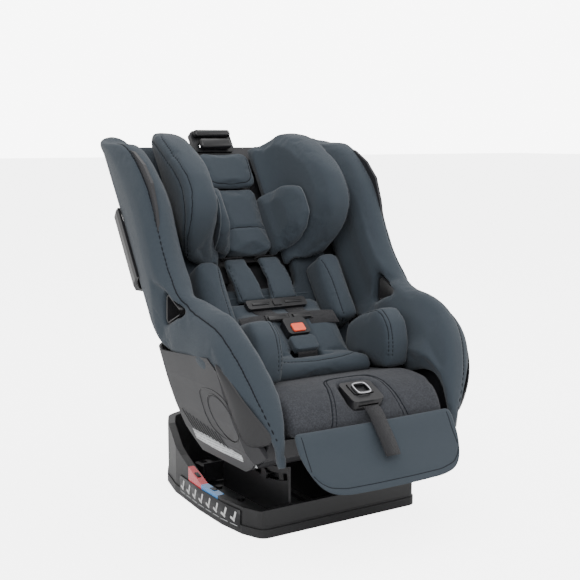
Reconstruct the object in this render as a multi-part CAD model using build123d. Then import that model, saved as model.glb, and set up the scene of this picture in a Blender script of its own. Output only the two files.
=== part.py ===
from build123d import *
import math
import os

# Convertible car seat on its base.  Millimetres, +Z up, the child faces -Y.
# The origin is the middle of the base's underside.  Left is -X, as seen from the front.

# Driving dimensions
half_width = 241.0          # padded arms, from the centre plane
shell_half = 228.0          # moulded shell at the wings
bucket_half = 178.0         # moulded shell below the arms
wall = 5.0                  # shell wall
lean = 33.4                 # back angle from upright, degrees
back_foot = (35.0, 257.0)   # Y, Z where the back's outer line starts
corner_radius = 88.0        # shell's rear corners, across the back
pivot = (-110.0, 360.0)     # Y, Z of the recline centre
cradle_radius = 260.0       # shell underside about the recline centre
slot_radius = 283.0         # guide slots about the recline centre
pin_radius = 6.0
pin_play = 0.05             # radial running clearance
slot_end = 1.4              # slot beyond a pin's last place, degrees
recline_back = 12.0         # travel from rest, degrees
recline_up = 14.0
pin_angles = (-2.0, 12.5)   # guide pins, degrees behind the lowest point
rail_x = 92.0
rail_thick = 4.0
rod_x = 62.0                # headrest guide rods
rod_radius = 4.0
rod_depth = 11.5            # rod centre above the shell's outer face
lever_hinge = (-222.0, 116.0)   # Y, Z of the recline lever's pin
strap_width = 38.0
strap_thick = 2.0

cos_lean = math.cos(math.radians(lean))
sin_lean = math.sin(math.radians(lean))
up_back = Vector(0, sin_lean, cos_lean)
out_back = Vector(0, -cos_lean, sin_lean)
back = Plane(origin=(0, *back_foot), x_dir=(1, 0, 0), z_dir=out_back)

# Harness plane over the child's lap, and the plane of the adjuster on the cushion
belly = Plane(origin=(0, -24, 329), x_dir=(1, 0, 0), z_dir=(0, -0.64, 0.768))
chest = Plane(origin=(0, 2, 328), x_dir=(1, 0, 0), z_dir=(0, -0.64, 0.768))
front_slope = Plane(origin=(0, -252, 227), x_dir=(1, 0, 0), z_dir=(0, -0.416, 0.909))

# Side outlines, (Y, Z)
rim = [(131, 617), (73, 603), (35, 582), (4, 551), (-11, 506), (-25, 434), (-35, 380),
       (-53, 345), (-85, 327), (-129, 319), (-172, 311), (-204, 294)]
shell_edge = [(131, 609), (76, 595), (41, 576), (12, 547), (-3, 505), (-17, 433), (-27, 377),
              (-49, 337), (-84, 319), (-129, 311), (-170, 303), (-200, 288)]
roll = [(112, 619), (56, 591), (28, 543), (4, 495), (-19, 440), (-46, 402), (-80, 380),
        (-129, 364), (-178, 350), (-214, 334), (-236, 300)]


def polygon(points):
    return make_face(Polyline(*points, close=True))


def side_prism(points, x_from, x_to):
    return extrude(Plane.YZ.offset(x_from) * polygon(points), amount=x_to - x_from)


def front_prism(points, y_from, y_to):
    return extrude(Plane.XZ.offset(-y_to) * polygon(points), amount=y_to - y_from)


def back_block(x_range, s_range, t_range, radius=0):
    # A block on the back: across, up the back, and out from the shell's outer face
    wide = x_range[1] - x_range[0]
    tall = s_range[1] - s_range[0]
    face = RectangleRounded(wide, tall, radius) if radius else Rectangle(wide, tall)
    place = Pos((x_range[0] + x_range[1]) / 2, (s_range[0] + s_range[1]) / 2)
    return extrude(back.offset(t_range[0]) * place * face, amount=t_range[1] - t_range[0])


def back_section(points, s_from, s_to):
    # A section across the back, (x, out), pulled up the back
    base = Plane(origin=back.origin + up_back * s_from, x_dir=(1, 0, 0), z_dir=-up_back)
    return extrude(base * polygon(points), amount=s_from - s_to)


def plane_block(plane, x_range, v_range, w_range, radius=0):
    wide = x_range[1] - x_range[0]
    tall = v_range[1] - v_range[0]
    face = RectangleRounded(wide, tall, radius) if radius else Rectangle(wide, tall)
    place = Pos((x_range[0] + x_range[1]) / 2, (v_range[0] + v_range[1]) / 2)
    return extrude(plane.offset(w_range[0]) * place * face, amount=w_range[1] - w_range[0])


def box(x_range, y_range, z_range):
    low = (x_range[0], y_range[0], z_range[0])
    high = (x_range[1], y_range[1], z_range[1])
    middle = [(a + b) / 2 for a, b in zip(low, high)]
    return Pos(*middle) * Box(*[b - a for a, b in zip(low, high)])


def on_arc(radius, degrees):
    # Point (Y, Z) about the recline centre, degrees behind the lowest point
    angle = math.radians(degrees)
    return (pivot[0] + radius * math.sin(angle), pivot[1] - radius * math.cos(angle))


def arc_band(inner, outer, start, end, x_range):
    # Ring sector about the recline centre
    middle = (start + end) / 2
    line = ThreePointArc(on_arc(outer, start), on_arc(outer, middle), on_arc(outer, end))
    line += Line(on_arc(outer, end), on_arc(inner, end))
    line += ThreePointArc(on_arc(inner, end), on_arc(inner, middle), on_arc(inner, start))
    line += Line(on_arc(inner, start), on_arc(outer, start))
    face = make_face(line)
    return extrude(Plane.YZ.offset(x_range[0]) * face, amount=x_range[1] - x_range[0])


def cut(shape, *tools):
    # What is left of a piece, without the loose slivers that its neighbours cut off
    for tool in tools:
        left = shape - tool
        solids = left.solids() if hasattr(left, "solids") else list(left)
        shape = max(solids, key=lambda solid: solid.volume)
    return shape


def other_side(shape):
    return mirror(shape, about=Plane.YZ)


def back_yz(s, t):
    # (Y, Z) of a point on the back's middle line
    return (back_foot[0] + s * sin_lean - t * cos_lean, back_foot[1] + s * cos_lean + t * sin_lean)


def save(name, shape):
    export_step(shape, "parts/" + name + ".step")


def save_both(name, right_shape):
    # Two alike pieces of one body in one node
    save(name, Compound(children=[right_shape, other_side(right_shape)]))


def save_pair(name, right_shape):
    save(name + "_right", right_shape)
    save(name + "_left", other_side(right_shape))


# ---------------------------------------------------------------- shell

def rounded_back(half, radius, rear):
    # Everything in front of the rounded back, out to the given half width
    section = [(-half, rear), (half, rear), (half, 700), (-half, 700)]
    blank = back_section(section, -500, 700)
    along = [e for e in blank.edges() if abs(e.length - 1200) < 1]
    rear_edges = sorted(along, key=lambda e: (e.center() - back.origin).dot(out_back))[:2]
    return fillet(rear_edges, radius)


def outline_solid(side_points, front_points, half, radius, rear):
    # Side, front and rear-corner outlines, each pulled through and intersected
    blank = rounded_back(half, radius, rear)
    blank += box((rear - 155, 155 - rear), (-120, 60), (60, 228))
    return blank & side_prism(side_points, -half, half) & front_prism(front_points, -400, 400)


def belt_tunnel(grow):
    # The opening in each side that the vehicle's belt passes through
    points = [(-44 + grow, 325 - grow), (-101 - grow, 351), (-46 + grow, 377 + grow)]
    face = fillet(polygon(points).vertices(), 7 + grow)
    return extrude(Plane.YZ.offset(150) * face, amount=100)


def underside(radius, start, end):
    steps = 14
    return [on_arc(radius, start + (end - start) * i / steps) for i in range(steps + 1)]


def seat_shell():
    side = shell_edge + [(-262, 205), (-268, 178)] + underside(cradle_radius, -34, 27)
    side += [(2, 190), back_yz(-30, -1), back_yz(408, -1), (246, 609)]
    front = [(-146, 90), (-bucket_half, 132), (-bucket_half, 286), (-shell_half, 300),
             (-shell_half, 640), (shell_half, 640), (shell_half, 300), (bucket_half, 286),
             (bucket_half, 132), (146, 90)]
    outer = outline_solid(side, front, shell_half, corner_radius, 0)
    inner_side = [back_yz(700, wall), (-500, 900), (-500, 176), (-262, 176), (-262, 172)]
    inner_side += underside(cradle_radius - wall, -33, 26)
    inner_side += [(2 - wall, 190), back_yz(-30, wall)]
    bucket = bucket_half - wall
    wide = shell_half - wall
    inner_front = [(-143, 90), (-bucket, 134), (-bucket, 291), (-wide, 305), (-wide, 800),
                   (wide, 800), (wide, 305), (bucket, 291), (bucket, 134), (143, 90)]
    hollow = outline_solid(inner_side, inner_front, wide, corner_radius - wall, wall)
    shell = outer - hollow
    shell -= belt_tunnel(0)
    shell -= other_side(belt_tunnel(0))
    y, z = lever_hinge
    for side in (-1, 1):
        low_x, high_x = sorted((side * 41, side * 47))
        shell += box((low_x, high_x), (y - 5, y + 3), (z - 5, z + 12.5))
    shell -= Pos(0, y, z) * Rot(0, 90, 0) * Cylinder(2.5, 100)
    return shell - box((-9, 9), (-120, -100), (90, 115))


# ---------------------------------------------------------------- base

base_top = [(-205, 2), (-198, 45), (-94, 45), (-36, 47), (18, 63), (51, 74), (132, 110),
            (197, 112), (203, 2)]
base_corners = [(151, -204), (166, -165), (172, -110), (171, -30), (162, 75), (146, 138), (122, 184),
                (80, 203)]
floor_top = 12.0
rail_top = 267.0            # rail plates' top edge, about the recline centre
rack_root = 276.0
rack_tip = 270.0
foot_places = [(-160, 120), (0, 120), (150, 88)]     # Y and half width of each rubber strip
rail_screw_places = [(rail_x + 15, y) for y in (-150, -60, 15)]


def footprint(inset):
    points = base_corners + [(-x, y) for x, y in reversed(base_corners)]
    outline = polygon(points)
    outline = fillet(outline.vertices().sort_by(Axis.Y)[:2], 18)
    outline = fillet(outline.vertices().sort_by(Axis.Y)[-6:], 40)
    return offset(outline, amount=-inset) if inset else outline


def make_base():
    solid = extrude(Pos(0, 0, 2) * footprint(2), amount=120) & side_prism(base_top, -180, 180)
    inside = extrude(Pos(0, 0, floor_top) * footprint(15), amount=120)
    skirt = extrude(Pos(0, 0, 2) * footprint(0), amount=14)
    feet = [box((-x, x), (y - 14, y + 14), (0, 3)) for y, x in foot_places]
    shell = solid + skirt - inside
    for foot in feet:
        shell -= foot
    for x, y in rail_screw_places:
        hole = Pos(x, y, floor_top) * Cylinder(3, 8)
        shell = shell - hole - other_side(hole)
    for color, y_from, y_to in (("red", -36, 18), ("blue", -94, -36)):
        pocket = box((154, 180), (y_from, y_to), (30, 90))
        save_both("indicator_" + color, (solid & pocket) - inside)
        shell = shell - pocket - other_side(pocket)
    save("base_shell", shell)
    save("base_feet", Compound(children=feet))


def make_rails():
    first = pin_angles[0] - recline_back - slot_end
    last = pin_angles[1] + recline_up + slot_end
    reach = pin_radius + pin_play
    points = underside(rail_top, first - 1.8, last + 1.8)
    low_y, high_y = points[0][0], points[-1][0]
    points += [(high_y, floor_top), (low_y, floor_top)]
    plate = side_prism(points, rail_x - rail_thick / 2, rail_x + rail_thick / 2)
    plate -= arc_band(slot_radius - reach, slot_radius + reach, first, last, (80, 100))
    rail = plate + box((rail_x, rail_x + 26), (low_y, high_y), (floor_top, floor_top + 4))
    screws = []
    for x, y in rail_screw_places:
        place = Pos(x, y, floor_top)
        rail -= place * Cylinder(3, 30)
        screw = place * Cylinder(3, 8) + place * Pos(0, 0, 6) * Cylinder(6, 4)
        screws += [screw, other_side(screw)]
    save_both("rails", rail)
    save("rail_screws", Compound(children=screws))


def make_rack():
    rack = arc_band(rack_root, 292, -13.2, 20, (-9, 9))
    for i in range(8):
        start = -12.5 + i * 4
        tooth = [on_arc(rack_root + 1, start), on_arc(rack_tip, start + 0.2),
                 on_arc(rack_tip, start + 0.9), on_arc(rack_root + 1, start + 2.4)]
        rack += side_prism(tooth, -9, 9)
    web = box((-5, 5), (-173, -14), (floor_top, 100)) - arc_band(0.1, 291, -40, 40, (-20, 20))
    save("index_rack", rack + web + box((-16, 16), (-173, -14), (floor_top, floor_top + 6)))


def make_anchor_strap():
    # Lower anchor webbing, stored across the base behind the rack, a connector at each end
    strap = box((-112, 112), (60, 62), (floor_top + 2, floor_top + 36))
    connectors = []
    for side in (-1, 1):
        x_end = side * 98
        case = Pos(x_end, 80, floor_top + 16) * Box(30, 34, 28)
        case = fillet(case.edges().filter_by(Axis.Z), 6)
        mouth = Pos(x_end, 98, floor_top + 16) * Box(12, 30, 30)
        connectors.append(case - mouth)
    save("anchor_strap", strap)
    save("anchor_connectors", Compound(children=connectors))


# ---------------------------------------------------------------- seat body

pad_back = (19.0, 42.0)     # back pad, out from the shell's outer face
channel_half = 82.0         # gap in the back pad for the headrest carriage
cushion_half = 149.5
outer_front = [(146, 95), (180, 116), (206, 160), (219, 200), (231, 250), (239, 297)]
arm_plan = [(241, -188), (237, -215), (213, -241), (181, -267), (158, -289)]
panel_top = [(-214, 280), (-190, 296), (-36, 283), (34, 283)]


def arm_envelope(inset):
    # Right arm's outer surface: front outline, plan outline and rounded back together
    front = [(x - inset, z) for x, z in outer_front] + [(241 - inset, 320), (0, 320), (0, 95)]
    plan = [(x - inset, y + inset) for x, y in arm_plan] + [(0, -289 + inset), (0, 200), (241 - inset, 200)]
    solid = front_prism(front, -300, 200) & extrude(Pos(0, 0, 90) * polygon(plan), amount=240)
    return solid & rounded_back(half_width - inset, corner_radius + 13 - inset, inset - 3)


def make_side_cover(shell):
    # Fabric over the wing: outer skin, and the roll over the shell's edge
    rear = [back_yz(393, 25)]
    skin = side_prism(rim + panel_top[1:3] + [(60, 283)] + rear, 226, half_width)
    roll_body = side_prism(roll + [(-200, 301), back_yz(46, 26)] + rear, 190, 226)
    cover = (skin + roll_body) & rounded_back(half_width, corner_radius + 13, 0)
    return cut(cover, shell, belt_tunnel(0))


def make_arm_cover(shell):
    # Padding inside the arm, and its front end
    arm = side_prism([(-236, 300), (-214, 330), (-178, 345), (-129, 350), (-80, 350),
                      (-30, 340), back_yz(52, 45)], 162, 190)
    inner = side_prism([(-249, 150), (-250, 176), (-236, 300), back_yz(51, 45), back_yz(-40, 45),
                        (-52, 140)], 150, bucket_half - wall)
    front_end = side_prism([(-219, 269.5), (-240.5, 215), (-267, 152), (-300, 150),
                            (-300, 269.5)], 151, half_width + 1)
    front_end &= arm_envelope(0)
    front_top = side_prism([(-205, 269.5), (-256, 269.5), (-236, 300), (-205, 300)], 151, 225.5)
    whole = front_end + front_top + arm + inner
    return cut(whole, shell, belt_tunnel(0))


def make_side_panel(shell):
    under = underside(cradle_radius + 1, 24, -34)
    zone = side_prism(panel_top + [(20, 200), (8, 150)] + under + [(-266, 152), (-240, 215)], 178.2, 240)
    panel = (arm_envelope(0) & zone) - arm_envelope(4)
    panel = cut(panel, shell, cup_oval(1), cup_barrel(3.2, 26))
    x, y, z = cup_hinge
    for angle in range(5, 35, 5):
        tilt = Pos(x, y, z) * Rot(0, angle, 0) * Pos(-x, -y, -z)
        panel = cut(panel, tilt * cup_plate(0.5))
    return panel


cup_middle = (-204, 205)    # Y, Z of the cup holder's oval
cup_radii = (41, 28)
cup_turn = 37               # oval's long axis above the horizontal, degrees
cup_hinge = (206, -204, 172)


def cup_oval(scale, shrink=0):
    face = Ellipse(cup_radii[0] * scale - shrink, cup_radii[1] * scale - shrink)
    place = Plane.YZ.offset(150) * Pos(*cup_middle) * Rot(0, 0, cup_turn)
    return extrude(place * face, amount=120)


def cup_barrel(radius, length):
    return Pos(*cup_hinge) * Rot(90, 0, 0) * Cylinder(radius, length)


def cup_plate(shrink):
    skin = arm_envelope(0) - arm_envelope(4)
    return skin & cup_oval(1, shrink) & box((150, 250), (-300, 0), (0, 320))


def make_cup_holder():
    plate = cup_plate(0.8) + cup_barrel(2.5, 24)
    depth = box((184, 250), (-300, 0), (150, 260))
    bin_wall = (cup_oval(0.78) - cup_oval(0.78, 2.5)) & arm_envelope(3.9) & depth
    end = cup_oval(0.78) & box((184, 186.5), (-300, 0), (150, 260))
    mouth = box((180, 208), (-300, 0), (217, 300))
    return plate + (bin_wall - mouth) + end


def make_keels():
    # Plates under the shell that carry the guide pins
    pins = []
    keel = arc_band(cradle_radius, 296, pin_angles[0] - 5, pin_angles[1] + 5, (76, 84))
    for angle in pin_angles:
        y, z = on_arc(slot_radius, angle)
        place = Pos(0, y, z) * Rot(0, 90, 0)
        keel -= Pos(80, 0, 0) * place * Cylinder(pin_radius, 40)
        pin = Pos(87, 0, 0) * place * Cylinder(pin_radius, 22)
        pin += Pos(96.5, 0, 0) * place * Cylinder(9, 3)
        pins += [pin, other_side(pin)]
    save_both("keels", keel)
    save("guide_pins", Compound(children=pins))


def make_frame():
    # Steel frame behind the pads, and the two rods the headrest slides on
    frame = back_block((-120, 120), (62, 88), (6, 17))
    frame += back_block((-120, 120), (346, 372), (6, 17))
    for side in (-1, 1):
        frame += back_block((side * 115 - 12, side * 115 + 12), (-20, 396), (6, 17))
    frame -= back_block((-40, 40), (55, 95), (9, 20))
    rods = []
    for side in (-1, 1):
        start = back.from_local_coords(Vector(side * rod_x, 58, rod_depth))
        rod = extrude(Plane(origin=start, z_dir=up_back) * Circle(rod_radius), amount=318)
        frame -= rod
        rods.append(rod)
    save("steel_frame", frame)
    save("guide_rods", Compound(children=rods))


def make_pads():
    low, high = pad_back
    pad = back_block((-168, 168), (-45, 393), (low, high), 12)
    pad -= back_block((-channel_half, channel_half), (96, 420), (low - 1, high + 1))
    save("back_pad", pad)
    top = [(-38, 224), (-100, 225), (-150, 230), (-207, 240), (-240, 234), (-264, 221), (-282, 196),
           (-284, 178), (-262, 177.5), (-249, 148)]
    cushion = side_prism(top + underside(254.2, -32, 14) + [(-40, 190)], -cushion_half, cushion_half)
    cushion -= plane_block(front_slope, (-31, 31), (-26, 26), (-19, 20))
    cushion -= box((-26, 26), (-112, -74), (80, 262))
    cushion -= box((-13, 13), (-126, -96), (80, 126))
    save("seat_cushion", cushion)
    skirt = [(-286, 190), (-292, 187), (-307, 160), (-332, 124), (-347, 103), (-341, 100),
             (-326, 120), (-300, 157), (-287, 176)]
    apron = side_prism(skirt, -150.5, 150.5)
    apron &= front_prism([(-153, 200), (-151, 160), (-141, 124), (-118, 104), (-40, 99), (40, 99),
                          (118, 104), (141, 124), (151, 160), (153, 200)], -400, -200)
    save("apron", apron)


def make_insert():
    # Newborn insert: body pad with a lip, shoulder and hip bolsters
    body = [back_yz(80, 43), back_yz(78, 45), back_yz(57, 46.2), (9.7, 331.2), (-9, 316.5),
            (-34, 317), (-57, 298.5), (-97, 259), (-145, 260), (-154, 243), (-150, 232),
            (-100, 226), (-38, 225), back_yz(-15, 43)]
    pad = side_prism(body, -98, 98)
    pad -= box((-27, 27), (-112, -64), (180, 262))
    pad -= plane_block(belly, (-30, 30), (-104, -28), (-10, 30))
    save("insert_pad", pad)
    shoulder = back_block((99, 147), (-6, 122), (43, 100), 14)
    save_pair("insert_shoulder", shoulder)
    hip = [(-190, 285), (-180, 318), (-156, 337), (-110, 322), (-70, 300), (-62, 262), (-70, 233),
           (-186, 240)]
    save_both("insert_hips", side_prism(hip, 100, 148.5))


def make_harness():
    half = strap_width / 2
    crotch = plane_block(belly, (-half, half), (-104, -66), (-1, 1))
    crotch += box((-half, half), (-104, -102), (119, 264.5))
    save("crotch_strap", crotch)
    sleeve = plane_block(belly, (-25, 25), (-99, -67.5), (-6, 9), 6)
    save("crotch_pad", sleeve - plane_block(belly, (-half, half), (-110, -60), (-1, 1)))
    case = plane_block(belly, (-22, 22), (-66, -31), (-6, 10), 7)
    case -= plane_block(belly, (-12.4, 12.4), (-62.4, -45.6), (-1, 20), 3)
    case -= plane_block(belly, (-15, 15), (-40, -20), (-1, 5))
    save("buckle_body", case)
    button = plane_block(belly, (-12, 12), (-62, -46), (3.6, 12.5), 2.8)
    save("buckle_button", button)
    tongues = []
    for side in (-1, 1):
        blade = plane_block(belly, (min(0.4 * side, 14 * side), max(0.4 * side, 14 * side)),
                            (-39, -24), (0, 3))
        plate = plane_block(belly, (min(0.4 * side, 46 * side), max(0.4 * side, 46 * side)),
                            (-30.5, -15), (0, 4), 0)
        slot = plane_block(belly, (min(6 * side, 42 * side), max(6 * side, 42 * side)),
                           (-22, -19), (-1, 5))
        tongues.append(blade + plate - slot)
    save("buckle_tongues", Compound(children=tongues))
    laps = []
    for side in (-1, 1):
        low_x, high_x = sorted((side * 52, side * 97))
        laps.append(plane_block(belly, (low_x, high_x), (-44, -15), (-0.6, 1.4)))
    save("lap_straps", Compound(children=laps))
    shoulders = []
    for side in (-1, 1):
        low_x, high_x = sorted((side * 14, side * 52))
        shoulders.append(plane_block(chest, (low_x, high_x), (-14, 17), (2, 4)))
    save("shoulder_straps", Compound(children=shoulders))
    clip = plane_block(chest, (-60, 60), (-10, 10), (0.5, 10.5), 5)
    clip -= plane_block(chest, (-53, -13), (-12, 12), (1.6, 4.4))
    clip -= plane_block(chest, (13, 53), (-12, 12), (1.6, 4.4))
    clip -= plane_block(chest, (-8.4, 8.4), (-6.4, 6.4), (5.4, 20), 2)
    save("chest_clip", clip)
    save("chest_clip_button", plane_block(chest, (-8, 8), (-6, 6), (8, 12), 1.8))


def make_adjuster():
    housing = plane_block(front_slope, (-30, 30), (-25, 25), (-18, 2.5), 8)
    housing -= plane_block(front_slope, (-19, 19), (-9, 19), (-6, 10), 2.5)
    housing -= plane_block(front_slope, (-strap_width / 2, strap_width / 2), (-40, -15), (-8, -5))
    save("adjuster_housing", housing)
    lever = plane_block(front_slope, (-18, 18), (-8, 18), (-1.5, 4), 3.5)
    lever -= plane_block(front_slope, (-13, 13), (-3, 13), (1, 10), 3)
    lever += front_slope * Pos(0, 16, 0) * Rot(0, 90, 0) * Cylinder(1.5, 37.1)
    save("adjuster_button", lever)
    path = [(-277, 210), (-289, 205), (-303, 187), (-322, 166), (-336, 146)]
    band = path + [(y + 2.2, z - 2.2) for y, z in reversed(path)]
    save("pull_strap", side_prism(band, -14, 14))


def make_recline_release():
    y, z = on_arc(cradle_radius + 5.5, 0)
    pawl = box((-7, 7), (y - 8, y + 8), (z - 3.5, z + 16))
    save("recline_pawl", pawl)
    y, z = lever_hinge
    lever = box((-40, 40), (y - 30, y + 5), (z - 3.5, z + 3.5))
    lever += box((-34, 34), (y - 30, y - 24), (z - 16, z))
    lever -= box((-18, 18), (y - 24, y + 6), (z - 4, z + 4))
    bore = Pos(0, y, z) * Rot(0, 90, 0) * Cylinder(2.55, 200)
    save("recline_lever", lever - bore)
    pin = Pos(34.5, y, z) * Rot(0, 90, 0) * Cylinder(2.5, 31)
    save_both("lever_pin", pin)


def make_belt_guides(shell):
    guide = (belt_tunnel(0) - belt_tunnel(-3.5)) & box((190, 232), (-120, 0), (300, 400))
    save_both("belt_guides", guide)


def make_pods():
    # Side impact pods clipped to the rear corners of the shell
    section = [(206, 6), (224, 14), (236, 34), (241, 56), (241, 66), (237, 66), (236, 58),
               (231, 38), (219, 20), (203, 12)]
    plate = back_section(section, 118, 250)
    web = back_section([(200, 30), (238, 56), (238, 64), (200, 38)], 176, 184)
    pod = plate + web
    pod = cut(pod, rounded_back(half_width, corner_radius + 13, 0))
    save_both("impact_pods", pod)


def make_tether():
    # Top tether, stored up the middle of the shell's rear face
    strap = back_block((-22, 22), (180, 392), (-3.2, -1.2))
    strap += back_block((-22, 22), (388, 392), (-3.2, 0))
    hook = back_block((-14, 14), (132, 186), (-9, -3.2), 6) - back_block((-7, 7), (138, 170), (-12, 0), 4)
    save("tether_strap", strap)
    save("tether_hook", hook)


# ---------------------------------------------------------------- headrest

pillow_wing_edge = [(156, 20), (157, 84), (170, 114), (192, 134), (220, 141), (246, 130), (262, 104),
                    (268, 62), (268, 20)]           # seen from the side, up the back and out
headrest_wing_edge = [(130, 20), (134, 60), (148, 100), (162, 135), (182, 165), (208, 180),
                      (240, 184), (273, 172), (320, 150), (355, 126), (384, 95), (388, 20)]


def make_headrest():
    plate = back_block((-56, 56), (150, 372), (20, 25), 8)
    for side in (-1, 1):
        low_x, high_x = sorted((side * 48, side * 76))
        block = back_block((low_x, high_x), (112, 168), (6.5, 25))
        start = back.from_local_coords(Vector(side * rod_x, 100, rod_depth))
        bore = extrude(Plane(origin=start, z_dir=up_back) * Circle(rod_radius + 0.05), amount=90)
        plate += block - bore
    plate += back_block((-40, 40), (366, 380), (20, 34)) - back_block((-43, 43), (377, 400), (25, 40))
    save("headrest_shell", plate)
    grip = back_block((-42, 42), (378, 424), (26, 38), 8)
    grip -= back_block((-30, 30), (384, 400), (24, 40), 5)
    save("headrest_handle", grip)
    tab = back_block((-54, 54), (292, 364), (44, 57), 16)
    tab += back_block((-36, 36), (300, 360), (25, 45))
    save("headrest_tab", tab)
    pillow = back_block((-46, 46), (158, 288), (26, 55), 12)
    save("pillow", pillow)
    wing = back_section([(47, 27), (60, 27), (68, 47), (82, 64), (95, 132), (84, 140), (70, 120),
                         (58, 76), (47, 56)], 156, 268)
    wing &= side_prism([back_yz(s, t) for s, t in pillow_wing_edge], 40, 100)
    save_pair("pillow_wing", wing)
    big = back_section([(61, 27), (80, 27), (82, 43), (112, 48), (144, 68), (162, 120), (160, 172),
                        (146, 184), (122, 184), (108, 170), (103, 120), (98, 88), (86, 60),
                        (70, 46)], 130, 388)
    big &= side_prism([back_yz(s, t) for s, t in headrest_wing_edge], 40, 170)
    save_pair("headrest_wing", big)


def make_shoulder_pads():
    pad = side_prism([back_yz(s, t) for s, t in ((57, 47), (57, 60), (100, 57), (150, 44), (150, 31),
                                                 (100, 44.5))], 1, 80)
    pad &= extrude(back.offset(20) * polygon([(4.5, 50), (60, 50), (60, 128), (55, 152), (14.5, 152)]), amount=60)
    save_pair("shoulder_pad", pad)
    loops = []
    for side in (-1, 1):
        low_x, high_x = sorted((side * 14, side * 52))
        loops.append(back_block((low_x, high_x), (154, 156), (25.2, 38)))
    save("harness_loops", Compound(children=loops))


# Every piece is written from here
os.makedirs("parts", exist_ok=True)
shell_solid = seat_shell()
save("seat_shell", shell_solid)
make_base()
make_rails()
make_rack()
make_anchor_strap()
save_pair("side_cover", make_side_cover(shell_solid))
save_pair("arm_cover", make_arm_cover(shell_solid))
save_pair("side_panel", make_side_panel(shell_solid))
save_pair("cup_holder", make_cup_holder())
make_keels()
make_frame()
make_pads()
make_insert()
make_harness()
make_adjuster()
make_recline_release()
make_belt_guides(shell_solid)
make_pods()
make_tether()
make_headrest()
make_shoulder_pads()
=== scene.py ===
import math
import bmesh
import bpy
from mathutils import Matrix, Vector
from mathutils.bvhtree import BVHTree
from mathutils.kdtree import KDTree


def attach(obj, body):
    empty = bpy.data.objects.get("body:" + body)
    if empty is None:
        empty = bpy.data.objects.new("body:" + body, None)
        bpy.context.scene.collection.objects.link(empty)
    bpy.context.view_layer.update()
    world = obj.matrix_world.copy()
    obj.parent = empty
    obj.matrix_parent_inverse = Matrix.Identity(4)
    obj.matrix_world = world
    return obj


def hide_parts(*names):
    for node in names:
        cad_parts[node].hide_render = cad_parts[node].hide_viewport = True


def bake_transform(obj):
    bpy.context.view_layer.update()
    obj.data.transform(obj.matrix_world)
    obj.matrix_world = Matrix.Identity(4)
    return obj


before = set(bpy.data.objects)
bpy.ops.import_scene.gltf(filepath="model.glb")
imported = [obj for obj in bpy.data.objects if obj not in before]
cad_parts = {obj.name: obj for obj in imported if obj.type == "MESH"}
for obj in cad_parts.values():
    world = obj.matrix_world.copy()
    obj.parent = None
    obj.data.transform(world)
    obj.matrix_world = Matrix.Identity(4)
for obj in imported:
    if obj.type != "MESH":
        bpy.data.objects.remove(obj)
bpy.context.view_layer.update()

mm = 0.001
upBack = Vector((0, 0.5505, 0.8348))     # up along the seat's back
outBack = Vector((0, -0.8348, 0.5505))
backFoot = Vector((0, 35, 257))       # where the back's outer line starts, mm
bellyFoot = Vector((0, -24, 329))     # chest clip's middle, mm
bellyUp = Vector((0, 0.768, 0.64))
bellyOut = Vector((0, -0.64, 0.768))
slopeFoot = Vector((0, -252, 227))    # harness adjuster on the cushion, mm
slopeUp = Vector((0, 0.909, 0.416))
slopeOut = Vector((0, -0.416, 0.909))


# places on the seat: across, up a face and out from it, mm
def onBack(x, s, t):
    # across, up the back and out from the shell's outer face, mm
    return Vector((x, 0, 0)) + backFoot + upBack * s + outBack * t


def onBelly(x, v, w):
    return Vector((x, 0, 0)) + bellyFoot + bellyUp * v + bellyOut * w


def onChest(x, v, w):
    return Vector((x, 2, 328)) + bellyUp * v + bellyOut * w


def onSlope(x, v, w):
    return Vector((x, 0, 0)) + slopeFoot + slopeUp * v + slopeOut * w


# shader groups shared by the materials
def newGroup(name, inputs, outputs):
    group = bpy.data.node_groups.new(name, "ShaderNodeTree")
    for label, kind, value in inputs:
        socket = group.interface.new_socket(label, in_out="INPUT", socket_type=kind)
        socket.default_value = value
    for label, kind in outputs:
        group.interface.new_socket(label, in_out="OUTPUT", socket_type=kind)
    return group, group.nodes.new("NodeGroupInput"), group.nodes.new("NodeGroupOutput")


def node(tree, kind, links=None, **settings):
    # one shader node; settings are its properties, links maps an input to a value or a socket
    made = tree.nodes.new(kind)
    for key, value in settings.items():
        setattr(made, key, value)
    for key, value in (links or {}).items():
        if isinstance(value, bpy.types.NodeSocket):
            tree.links.new(value, made.inputs[key])
        else:
            made.inputs[key].default_value = value
    return made


def fabricGroup():
    # knit height and a soft colour drift
    group, into, out = newGroup(
        "fabricDetail",
        [("Scale", "NodeSocketFloat", 900.0), ("Drift", "NodeSocketFloat", 6.0)],
        [("Height", "NodeSocketFloat"), ("Tone", "NodeSocketFloat")])
    place = node(group, "ShaderNodeTexCoord").outputs["Object"]
    threads = []
    for direction in ("X", "Y", "Z"):
        wave = node(group, "ShaderNodeTexWave", {"Vector": place, "Scale": into.outputs["Scale"],
                                                 "Distortion": 1.5, "Detail": 1.0},
                    bands_direction=direction)
        threads.append(wave.outputs["Fac"])
    pair = node(group, "ShaderNodeMath", {0: threads[0], 1: threads[1]}, operation="ADD")
    weave = node(group, "ShaderNodeMath", {0: pair.outputs[0], 1: threads[2]}, operation="ADD")
    third = node(group, "ShaderNodeMath", {0: weave.outputs[0], 1: 0.333}, operation="MULTIPLY")
    drift = node(group, "ShaderNodeTexNoise", {"Vector": place, "Scale": into.outputs["Drift"],
                                               "Detail": 3.0})
    group.links.new(third.outputs[0], out.inputs["Height"])
    group.links.new(drift.outputs["Fac"], out.inputs["Tone"])
    return group


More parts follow.
